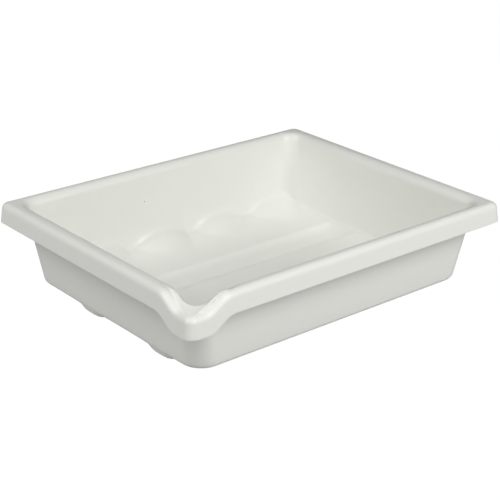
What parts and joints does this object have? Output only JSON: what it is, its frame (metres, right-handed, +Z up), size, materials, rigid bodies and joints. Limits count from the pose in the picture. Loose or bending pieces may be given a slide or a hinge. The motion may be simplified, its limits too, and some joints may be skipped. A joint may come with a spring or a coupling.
{
  "type": "photographic developing tray",
  "caption": "White open plastic tray with a rolled rim, a pouring lip at one corner, runners under the floor that are channels inside, and finger mounds along the back wall.",
  "frame": {"origin": "middle of the tray's outline, on the surface that the runners rest on", "axes": "+X along the length, +Y towards the back wall with the finger mounds, +Z up; the pouring lip is at the -X -Y corner"},
  "size_m": [0.326, 0.261, 0.073],
  "materials": {
    "tray_plastic": "white moulded plastic with a soft satin gloss"
  },
  "bodies": {
    "root": {"tray": "tray_plastic"}
  },
  "joints": []
}
